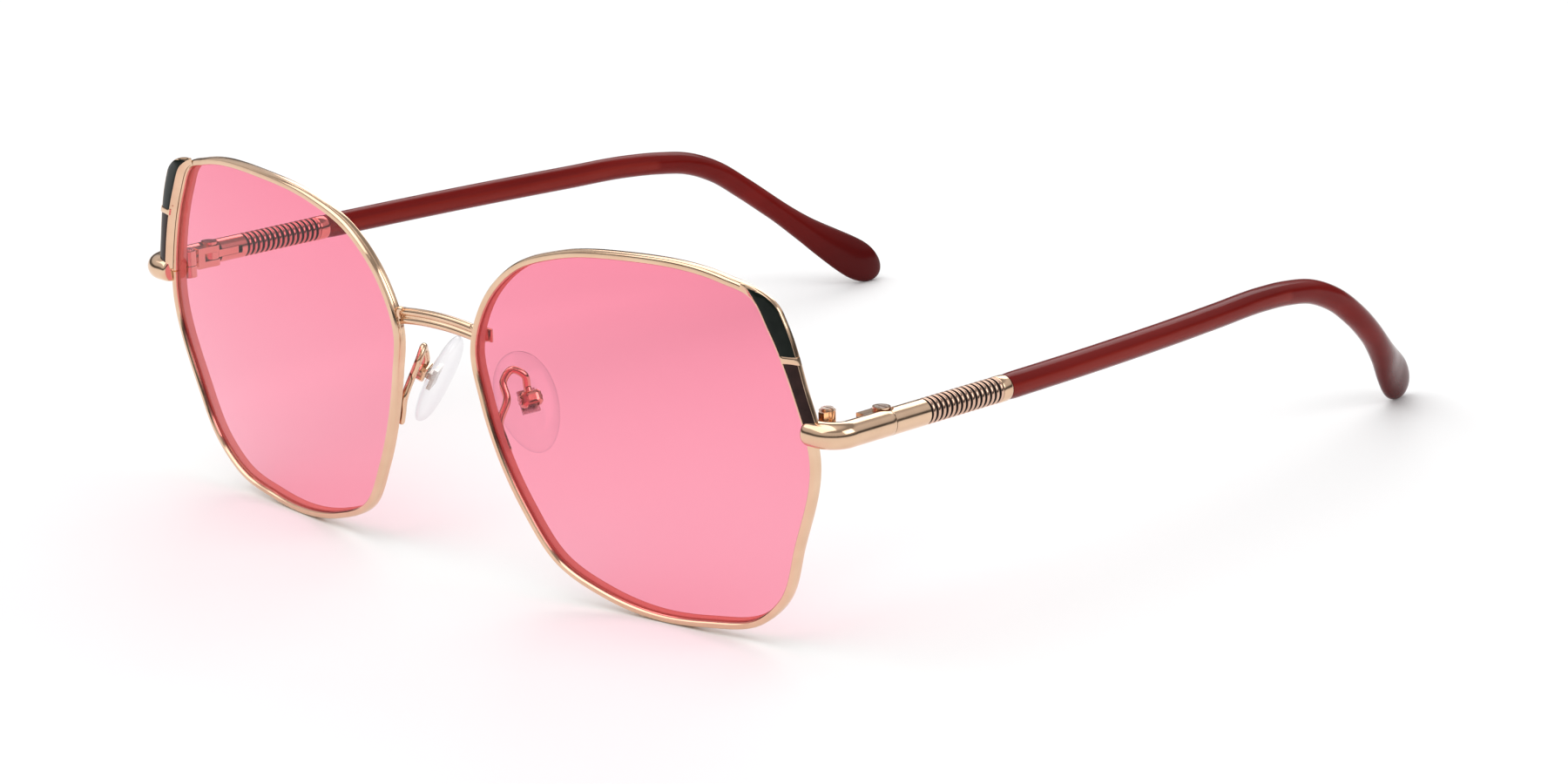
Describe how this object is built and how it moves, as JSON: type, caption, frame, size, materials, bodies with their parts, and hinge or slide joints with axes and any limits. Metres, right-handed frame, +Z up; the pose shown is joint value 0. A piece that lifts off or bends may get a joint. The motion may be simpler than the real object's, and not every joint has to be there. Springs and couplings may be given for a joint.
{
  "type": "sunglasses",
  "caption": "Cat eye sunglasses with wire rims, tinted lenses, enamelled corners, nose pads on wire arms and spring-hinged round temples.",
  "frame": {"origin": "on the surface the glasses stand on, midway between the outermost points left to right and front to back", "axes": "+Z up, -Y the way the wearer looks, +X to the wearer's left"},
  "size_m": [0.1438, 0.1566, 0.0537],
  "materials": {
    "rose_gold": "polished",
    "ribbed_metal": "polished ridges over dark lacquered grooves",
    "tinted_lens": "clear pink tint, glossy",
    "black_enamel": "glossy",
    "brown_enamel": "glossy",
    "screw_steel": "polished",
    "spring_steel": "satin",
    "nylon": "matte",
    "red_acetate": "glossy, slightly translucent",
    "clear_silicone": "clear silicone"
  },
  "bodies": {
    "front": {"bridge": "rose_gold", "left_rim": "rose_gold", "left_lens": "tinted_lens", "left_corner_plate": "rose_gold", "left_upper_enamel": "black_enamel", "left_lower_enamel": "brown_enamel", "left_end_piece": "rose_gold", "left_closing_block_upper": "rose_gold", "left_closing_block_lower": "rose_gold", "left_closing_screw": "screw_steel", "left_hinge_leaf": "rose_gold", "left_hinge_screw": "screw_steel", "left_pad_arm": "rose_gold", "left_pad_box": "rose_gold", "left_pad_screw": "screw_steel", "right_rim": "rose_gold", "right_lens": "tinted_lens", "right_corner_plate": "rose_gold", "right_upper_enamel": "black_enamel", "right_lower_enamel": "brown_enamel", "right_end_piece": "rose_gold", "right_closing_block_upper": "rose_gold", "right_closing_block_lower": "rose_gold", "right_closing_screw": "screw_steel", "right_hinge_leaf": "rose_gold", "right_hinge_screw": "screw_steel", "right_pad_arm": "rose_gold", "right_pad_box": "rose_gold", "right_pad_screw": "screw_steel"},
    "left_hinge_bush": {"left_hinge_bush": "nylon"},
    "left_spring_tongue": {"left_spring_tongue": "spring_steel", "left_spring_rod": "spring_steel"},
    "left_temple": {"left_hinge_spring": "spring_steel", "left_spring_stop": "spring_steel", "left_ferrule": "rose_gold", "left_ribbed_sleeve": "ribbed_metal", "left_collar": "rose_gold", "left_temple": "red_acetate", "left_core_wire": "spring_steel"},
    "left_nose_pad": {"left_pad_insert": "rose_gold", "left_nose_pad": "clear_silicone"},
    "right_hinge_bush": {"right_hinge_bush": "nylon"},
    "right_spring_tongue": {"right_spring_tongue": "spring_steel", "right_spring_rod": "spring_steel"},
    "right_temple": {"right_hinge_spring": "spring_steel", "right_spring_stop": "spring_steel", "right_ferrule": "rose_gold", "right_ribbed_sleeve": "ribbed_metal", "right_collar": "rose_gold", "right_temple": "red_acetate", "right_core_wire": "spring_steel"},
    "right_nose_pad": {"right_pad_insert": "rose_gold", "right_nose_pad": "clear_silicone"}
  },
  "joints": [
    {"name": "left_temple_fold", "type": "hinge", "parent": "front", "child": "left_hinge_bush", "pos_m": [0.069, -0.0609, 0.03235], "axis": [0, 0.0384, 0.9993], "range_deg": [0, 88]},
    {"name": "left_temple_flex", "type": "hinge", "parent": "left_hinge_bush", "child": "left_spring_tongue", "pos_m": [0.069, -0.0609, 0.03235], "axis": [0, 0.0384, 0.9993], "range_deg": [-10, 0], "stiffness_Nm_per_rad": 0.3, "springref_deg": 2.86},
    {"name": "left_spring_slide", "type": "slide", "parent": "left_spring_tongue", "child": "left_temple", "axis": [0, 0.9993, -0.0384], "range_m": [0, 0.0006], "deforming": ["left_hinge_spring"]},
    {"name": "left_pad_rock", "type": "hinge", "parent": "front", "child": "left_nose_pad", "pos_m": [0.0113, -0.07016, 0.02679], "axis": [0.4386, 0.8903, 0.1229], "range_deg": [-8, 8]},
    {"name": "right_temple_fold", "type": "hinge", "parent": "front", "child": "right_hinge_bush", "pos_m": [-0.069, -0.0609, 0.03235], "axis": [0, -0.0384, -0.9993], "range_deg": [0, 83]},
    {"name": "right_temple_flex", "type": "hinge", "parent": "right_hinge_bush", "child": "right_spring_tongue", "pos_m": [-0.069, -0.0609, 0.03235], "axis": [0, -0.0384, -0.9993], "range_deg": [-10, 0], "stiffness_Nm_per_rad": 0.3, "springref_deg": 2.86},
    {"name": "right_spring_slide", "type": "slide", "parent": "right_spring_tongue", "child": "right_temple", "axis": [0, 0.9993, -0.0384], "range_m": [0, 0.0006], "deforming": ["right_hinge_spring"]},
    {"name": "right_pad_rock", "type": "hinge", "parent": "front", "child": "right_nose_pad", "pos_m": [-0.0113, -0.07016, 0.02679], "axis": [0.4386, -0.8903, -0.1229], "range_deg": [-8, 8]}
  ],
  "couplings": [
    {"joint": "left_spring_slide", "follows": "left_temple_flex", "m_per_rad": -0.0032},
    {"joint": "right_spring_slide", "follows": "right_temple_flex", "m_per_rad": -0.0032}
  ]
}
